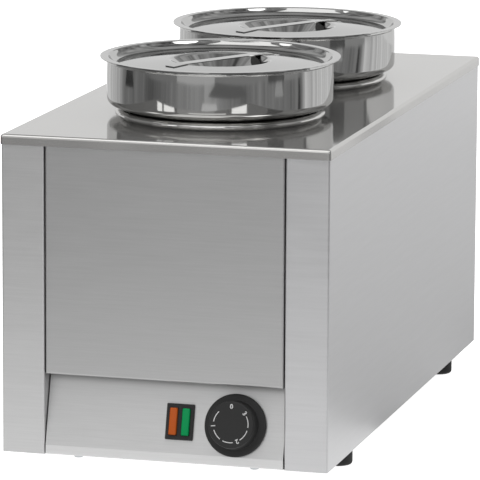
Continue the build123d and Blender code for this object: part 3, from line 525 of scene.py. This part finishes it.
# Annealed in a protective gas, the deck stays bright, with a thin haze over its reflections.
deck_steel = polished("bright annealed stainless", "#D3D2D0", 0.07, 9.0, 0.004, haze=0.08)
# Buffing on a wheel leaves the pots and lids as mirrors that waver slightly.
mirror_steel = polished("buffed stainless", "#C4C4C3", 0.06, 14.0, 0.01)
# The inside of a pot is scoured with abrasive pads after pressing, which leaves a satin grain.
inside_steel = polished("satin stainless", "#C4C4C3", 0.5, 6.0, 0.01)
# A deep-drawn tank isn't polished, so it only glimmers.
tank_steel = polished("drawn stainless", "#C0C0BE", 0.5, 6.0, 0.01)
# Zinc is plated on in a bath, and looks bluish and faintly mottled.
zinc_steel = polished("zinc-plated steel", "#BDC0C2", 0.3, 1.2, 0.01)
# A heater's sheath is annealed before it is bent, and looks grey and a little rough.
heater_steel = polished("sheathed heating element steel", "#8A8784", 0.35, 1.5, 0.02)
# Copper tube is drawn through a die, and has a soft salmon shine.
copper = polished("drawn copper tube", "#D98A62", 0.3, 2.0, 0.01)
# Brass is turned on a lathe, and has a warm, slightly broken shine.
brass = polished("turned brass", "#D5B262", 0.28, 1.5, 0.01)
print("eight bright, polished, drawn and plated metals")

# %% [markdown]
# ## Plastics and rubber
# The lenses, the bezel, the knob and the feet all come out of moulds. A mould is lightly spark eroded, which
# leaves a fine pebble that breaks the highlight up. The pebble is a bump of a few thousandths of a
# millimetre.


# %% Moulded plastics
def moulded(name, colour, roughness, pebble, depth, shine=0.5):
    """Moulded plastic or rubber: pebble is the grain of the mould in mm, and depth its height in mm."""
    material, tree, surface = new_material(name)
    place = add(tree, "TexCoord").outputs["Object"]
    grain = add(tree, "TexNoise", {"Vector": place, "Scale": 1 / (pebble * mm), "Detail": 2.0})
    skin = add(tree, "Bump", {"Strength": 1.0, "Distance": depth * mm, "Height": grain.outputs["Fac"]})
    plastic = add(tree, "BsdfPrincipled", {
        "Base Color": linear(colour), "Roughness": roughness, "IOR": 1.5, "Specular IOR Level": shine,
        "Normal": skin.outputs[0],
    })
    tree.links.new(plastic.outputs["BSDF"], surface)
    return material


# Phenolic is pressed hot in a satin mould: nearly black, with a weak, wide shine.
black_phenolic = moulded("black phenolic", "#2E2E2E", 0.5, 0.4, 0.006, shine=0.3)
# Tinted polycarbonate sends light back from inside, so its colour is deep and its shine slight.
orange_lens_plastic = moulded("orange polycarbonate", "#D76627", 0.3, 0.8, 0.004, shine=0.12)
green_lens_plastic = moulded("green polycarbonate", "#06AB61", 0.3, 0.8, 0.004, shine=0.12)
# Rubber feet come out of the mould matt.
black_rubber = moulded("black rubber", "#1B1B1B", 0.7, 0.6, 0.02)
# Phenolic board is laminated paper and resin, brown and dull.
brown_board = moulded("brown phenolic board", "#4A3426", 0.5, 0.8, 0.01)
# Polyamide is left undyed, and looks creamy and waxy.
ivory_polyamide = moulded("ivory polyamide", "#E6DDC6", 0.45, 0.8, 0.006)
# Silicone insulation is extruded over the wire, and looks smooth and soft.
brown_silicone = moulded("brown silicone insulation", "#5C3A24", 0.5, 0.6, 0.006)
blue_silicone = moulded("blue silicone insulation", "#2E64A8", 0.5, 0.6, 0.006)
# The earth lead's two stripes are finer than the picture shows, so they are drawn as their mixed colour.
earth_silicone = moulded("green and yellow insulation", "#8FA83A", 0.5, 0.6, 0.006)
print("nine moulded and extruded materials")

# %% [markdown]
# ## Give every node its finish
# The imported model's own materials are placeholders, each named for a slot of the record. One table says
# which finish goes into which slot. Three panels then get a steel of their own, because their grain or the
# light on them differs from the rest of the casing: the front's darker grey is painted shade, and the
# fascia's lighter grey painted light.

# %% Finishes by slot
finishes = {
    "casing_steel": casing_steel,
    "deck_steel": deck_steel,
    "polished_steel": mirror_steel,
    "tank_steel": tank_steel,
    "zinc_steel": zinc_steel,
    "heater_steel": heater_steel,
    "copper": copper,
    "brass": brass,
    "black_plastic": black_phenolic,
    "orange_plastic": orange_lens_plastic,
    "green_plastic": green_lens_plastic,
    "black_rubber": black_rubber,
    "phenolic": brown_board,
    "ivory_plastic": ivory_polyamide,
    "brown_insulation": brown_silicone,
    "blue_insulation": blue_silicone,
    "earth_insulation": earth_silicone,
}
for node in nodes.values():
    for holder in node.material_slots:
        holder.material = finishes[holder.material.name.split(".")[0]]
nodes["front_panel"].material_slots[0].material = front_steel_painted_shade
nodes["control_fascia"].material_slots[0].material = fascia_steel_painted_light_and_shade
nodes["right_side_panel"].material_slots[0].material = right_steel
print(len(finishes), "finishes given to", len(nodes), "nodes")

# %% [markdown]
# ## The pot's outline
# Pots and lids are pressed from flat discs, so each is one outline turned round its axis. The outline is a
# short list of corners, and each corner gets its radius drawn as a small arc. A pot has a wide, polished
# upper body that rests on the deck's collar, and a narrower neck that hangs in the water. Its mouth band
# stands slightly proud, and the upper body swells by less than half a millimetre, as pressed sheet does,
# which draws its reflections out.

# %% The pot's outline, with its corners rounded
arc_step = math.radians(7)
least_arc_steps = 6


def rounded(corners):
    """The outline through (radius, height, round) corners in mm, each round drawn as an arc in steps."""
    outline = []
    for i, (x, z, r) in enumerate(corners):
        here = Vector((x, z))
        if r == 0:
            outline.append(here * mm)
            continue
        back = (Vector(corners[i - 1][:2]) - here).normalized()
        ahead = (Vector(corners[i + 1][:2]) - here).normalized()
        half = back.angle(ahead) / 2
        centre = here + (back + ahead).normalized() * r / math.sin(half)
        arm = here + back * r / math.tan(half) - centre
        sweep = math.copysign(math.pi - 2 * half, (-back).cross(ahead))
        steps = max(least_arc_steps, math.ceil(abs(sweep) / arc_step))
        outline += [(centre + Matrix.Rotation(sweep * k / steps, 2) @ arm) * mm for k in range(steps + 1)]
    return outline


pot_low, pot_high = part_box("pot_front")
pot_rim_z = pot_high[2] / mm
pot_foot_z = pot_low[2] / mm
pot_radius = 96.5
mouth_radius, mouth_round = 97.1, 1.0
mouth_crest_z = pot_rim_z - 2.4
mouth_end_z = pot_rim_z - 3.2
swell_radius, swell_z, swell_round = 97.0, 308.2, 460.0
# From the shoulder to the neck, the step slopes down and inwards over the deck's collar.
shoulder_z, shoulder_round = 290.435, 6.0
neck_radius, neck_z, neck_round = 83.0, 284.311, 2.0
foot_round = 12.0
pot_corners = [
    (pot_radius, pot_rim_z, 0),
    (mouth_radius, mouth_crest_z, mouth_round),
    (pot_radius, mouth_end_z, mouth_round),
    (swell_radius, swell_z, swell_round),
    (pot_radius, shoulder_z, shoulder_round),
    (neck_radius, neck_z, neck_round),
    (neck_radius, pot_foot_z, foot_round),
    (0, pot_foot_z, 0),
]
pot_outline = rounded(pot_corners)
print(len(pot_outline), "points from the pot's rim, at", round(pot_rim_z, 3), "mm, to its floor")

# %% [markdown]
# ## The pots on a lathe
# A circle takes the outline's first point, and every further point is one extrusion of that ring, moved down
# and resized. Solidify then gives the sheet its thickness, with the satin steel inside, and weighted normals
# keep the mirror free of shading bands. The rear pot is a copy of the front one.

# %% Turn the front pot
turn_steps = 256
weld_distance = 1e-6


def turned(outline, axis_y):
    """The outline turned round an upright axis: one ring of edges, extruded from point to point."""
    start = outline[0]
    bpy.ops.mesh.primitive_circle_add(vertices=turn_steps, radius=start.x, location=(0, axis_y, start.y))
    bpy.ops.object.mode_set(mode="EDIT")
    for last, point in zip(outline, outline[1:]):
        bpy.ops.mesh.extrude_edges_move(TRANSFORM_OT_translate={"value": (0, 0, point.y - last.y)})
        if point.x > 0:
            share = point.x / last.x
            bpy.ops.transform.resize(value=(share, share, 1), center_override=(0, axis_y, 0))
        else:
            bpy.ops.mesh.merge(type="CENTER")
    bpy.ops.mesh.select_all(action="SELECT")
    bpy.ops.mesh.remove_doubles(threshold=weld_distance)
    bpy.ops.mesh.normals_make_consistent(inside=False)
    bpy.ops.object.mode_set(mode="OBJECT")
    bpy.ops.object.transform_apply(location=True, rotation=True, scale=True)
    return bpy.context.object


def middle_y(node):
    """The middle of a node from front to back."""
    low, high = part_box(node)
    return (low[1] + high[1]) / 2


pot_front = turned(pot_outline, middle_y("pot_front"))
print("the pot's sheet has", len(pot_front.data.polygons), "faces")

# %% Give the sheet its thickness
pot_sheet = 0.6 * mm
crease = math.radians(35)


def thicken(piece, thickness):
    """Gives a turned sheet its thickness behind the face that was turned, in the piece's next material."""
    wall = piece.modifiers.new("sheet", "SOLIDIFY")
    wall.thickness = thickness
    wall.offset = -1
    wall.material_offset = 1
    wall.use_even_offset = True
    bpy.ops.object.modifier_apply(modifier=wall.name)
    bpy.ops.object.shade_smooth_by_angle(angle=crease)
    even = piece.modifiers.new("even shading", "WEIGHTED_NORMAL")
    even.weight = 100
    even.keep_sharp = True
    bpy.ops.object.modifier_apply(modifier=even.name)


pot_front.data.materials.append(mirror_steel)
pot_front.data.materials.append(inside_steel)
thicken(pot_front, pot_sheet)
print("with both sides it has", len(pot_front.data.polygons), "faces")


# %% Copy it for the rear well
def copied(piece, shift):
    """A copy of a finished piece with its own mesh, moved by shift."""
    bpy.ops.object.select_all(action="DESELECT")
    piece.select_set(True)
    bpy.context.view_layer.objects.active = piece
    bpy.ops.object.duplicate()
    copy = bpy.context.object
    copy.location = shift
    bpy.ops.object.transform_apply(location=True, rotation=True, scale=True)
    return copy


pot_rear = copied(pot_front, (0, middle_y("pot_rear") - middle_y("pot_front"), 0))
for end, pot in (("front", pot_front), ("rear", pot_rear)):
    pot.name = f"pot_{end}_turned"
    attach(pot, f"pot_{end}")
    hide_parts(f"pot_{end}")

# %% [markdown]
# ## The lids
# A lid rests on the pot's mouth by its flat rim. Inside the rim a wall drops into a coved trough, the floor
# rises again from there, and a bowl-shaped dish in the middle leaves room for fingers under the strap.

# %% Turn the two lids
lid_sheet = 0.8 * mm
lid_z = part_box("lid_front")[1][2] / mm
rim_radius = 102.4
wall_radius, wall_round = 95.7, 1.6
trough_radius, trough_depth, trough_round = 91.5, 6.6, 9.0
dish_radius, dish_edge_depth, dish_edge_round = 42.5, 3.2, 7.0
bowl_radius, bowl_depth, bowl_round = 24.0, 16.4, 16.0
lid_corners = [
    (rim_radius, lid_z, 0),
    (wall_radius, lid_z, wall_round),
    (trough_radius, lid_z - trough_depth, trough_round),
    (dish_radius, lid_z - dish_edge_depth, dish_edge_round),
    (bowl_radius, lid_z - bowl_depth, bowl_round),
    (0, lid_z - bowl_depth, 0),
]

lid_front = turned(rounded(lid_corners), middle_y("lid_front"))
lid_front.data.materials.append(mirror_steel)
thicken(lid_front, lid_sheet)
lid_rear = copied(lid_front, (0, middle_y("lid_rear") - middle_y("lid_front"), 0))
for end, lid in (("front", lid_front), ("rear", lid_rear)):
    lid.name = f"lid_{end}_turned"
    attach(lid, f"lid_{end}")
    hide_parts(f"lid_{end}")

# %% [markdown]
# ## The printed dial
# The knob's face carries white pad-printed arcs and numbers. The arcs are one flat ring, an edge circle
# extruded outwards, with the faces between the arcs deleted. The numbers are text turned into mesh, each
# with its top outwards. Everything is drawn flat at the origin, joined, given the ink's thickness, and then
# laid on the face.

# %% The arcs
print_radius = 14.8 * mm
stroke = 0.75 * mm
# The ends of each arc in degrees, counted from the right and anticlockwise.
arcs = [(136, 173), (200, 236), (246, 281), (305.5, 343.5), (353.5, 391)]
inner_radius = print_radius - stroke / 2
outer_radius = print_radius + stroke / 2

bpy.ops.object.select_all(action="DESELECT")
bpy.ops.mesh.primitive_circle_add(vertices=360, radius=inner_radius)
dial = bpy.context.object
dial.name = "dial_print"
bpy.ops.object.mode_set(mode="EDIT")
bpy.ops.mesh.extrude_edges_move(TRANSFORM_OT_translate={"value": (0, 0, 0)})
wider = outer_radius / inner_radius
bpy.ops.transform.resize(value=(wider, wider, 1), center_override=(0, 0, 0))
bpy.ops.mesh.select_all(action="DESELECT")
bpy.ops.object.mode_set(mode="OBJECT")
for face in dial.data.polygons:
    bearing = math.degrees(math.atan2(face.center.y, face.center.x)) % 360
    face.select = not any(start <= bearing + turn <= stop for start, stop in arcs for turn in (0, 360))
bpy.ops.object.mode_set(mode="EDIT")
bpy.ops.mesh.select_mode(type="FACE")
bpy.ops.mesh.delete(type="FACE")
bpy.ops.object.mode_set(mode="OBJECT")
print(len(arcs), "arcs with", len(dial.data.polygons), "faces")

# %% The numbers
number_size = 5.2 * mm
number_weight = 0.2 * mm
# Each number with its place on the dial, in the same degrees as the arcs.
numbers = {"0": 91.5, "1": 187.0, "2": 295.5, "3": 41.0}
for number, degree in numbers.items():
    angle = math.radians(degree)
    place = (print_radius * math.cos(angle), print_radius * math.sin(angle), 0)
    bpy.ops.object.text_add(location=place, rotation=(0, 0, angle - math.pi / 2))
    figure = bpy.context.object
    figure.data.body = number
    figure.data.size = number_size
    figure.data.align_x = "CENTER"
    figure.data.align_y = "CENTER"
    figure.data.offset = number_weight
    bpy.ops.object.convert(target="MESH")
    dial.select_set(True)
    bpy.context.view_layer.objects.active = dial
    bpy.ops.object.join()
print(len(numbers), "numbers joined to the arcs")

# %% Lay the print on the knob
ink = 0.03 * mm
ink_gap = 0.005 * mm
knob_height = 17.0 * mm
film = dial.modifiers.new("ink", "SOLIDIFY")
film.thickness = ink
film.offset = 1
bpy.ops.object.modifier_apply(modifier=film.name)

# The knob's joint gives the axis that its face is square to.
hinge = next(joint for joint in frame["record"]["behaviour"]["joints"] if joint["name"] == "knob_turn")
rightward = Vector((1, 0, 0))
outward = -Vector(hinge["axis"])
upward = outward.cross(rightward)
fascia_turn = Matrix((rightward, upward, outward)).transposed().to_4x4()
cap_face = Vector(hinge["pos_m"]) + outward * (knob_height + ink_gap)
dial.matrix_world = Matrix.Translation(cap_face) @ fascia_turn
bpy.ops.object.select_all(action="DESELECT")
dial.select_set(True)
bpy.context.view_layer.objects.active = dial
bpy.ops.object.transform_apply(location=True, rotation=True, scale=True)
# Ink from a pad dries to a thin film, a soft and even white.
dial.data.materials.append(moulded("white pad-printing ink", "#E6E6E6", 0.5, 0.3, 0.001))
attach(dial, "knob")
print("dial print of", len(dial.data.polygons), "faces, facing", [round(c, 3) for c in outward])

# %% [markdown]
# ## The lamp lenses
# Each lens is a moulded cap of tinted polycarbonate with well-rounded edges, which look dark where they turn
# away. A cube is stretched to the lens's size, and the edges of its front face are bevelled in several
# steps. The green lens is a copy of the orange one.

# %% Two rounded lenses
# A lens is sized across, along and out of the fascia, and the lamp sits level with the knob.
lens_size = (6.5 * mm, 22.8 * mm, 6.2 * mm)
lens_middle = 1.1 * mm
lens_edge = 1.2 * mm
lens_crease = math.radians(40)
lens_spread = 10.8 * mm
lamp_offset = 12.5 * mm
lamp_middle = Vector((lamp_offset, hinge["pos_m"][1], hinge["pos_m"][2]))

bpy.ops.mesh.primitive_cube_add(size=1)
orange_lens = bpy.context.object
orange_lens.scale = lens_size
bpy.ops.object.transform_apply(location=True, rotation=True, scale=True)
for edge in orange_lens.data.edges:
    edge.select = all(orange_lens.data.vertices[v].co.z > 0 for v in edge.vertices)
bpy.ops.object.mode_set(mode="EDIT")
bpy.ops.mesh.select_mode(type="EDGE")
bpy.ops.mesh.bevel(offset=lens_edge, segments=6)
bpy.ops.object.mode_set(mode="OBJECT")
bpy.ops.object.shade_smooth_by_angle(angle=lens_crease)
orange_middle = lamp_middle - rightward * lens_spread / 2 + outward * lens_middle
orange_lens.matrix_world = Matrix.Translation(orange_middle) @ fascia_turn
bpy.ops.object.transform_apply(location=True, rotation=True, scale=True)
green_lens = copied(orange_lens, rightward * lens_spread)
for colour, lens in (("orange", orange_lens), ("green", green_lens)):
    lens.name = f"{colour}_lens_rounded"
    lens.data.materials.append(finishes[f"{colour}_plastic"])
    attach(lens, "cabinet")
    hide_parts(f"{colour}_lens")
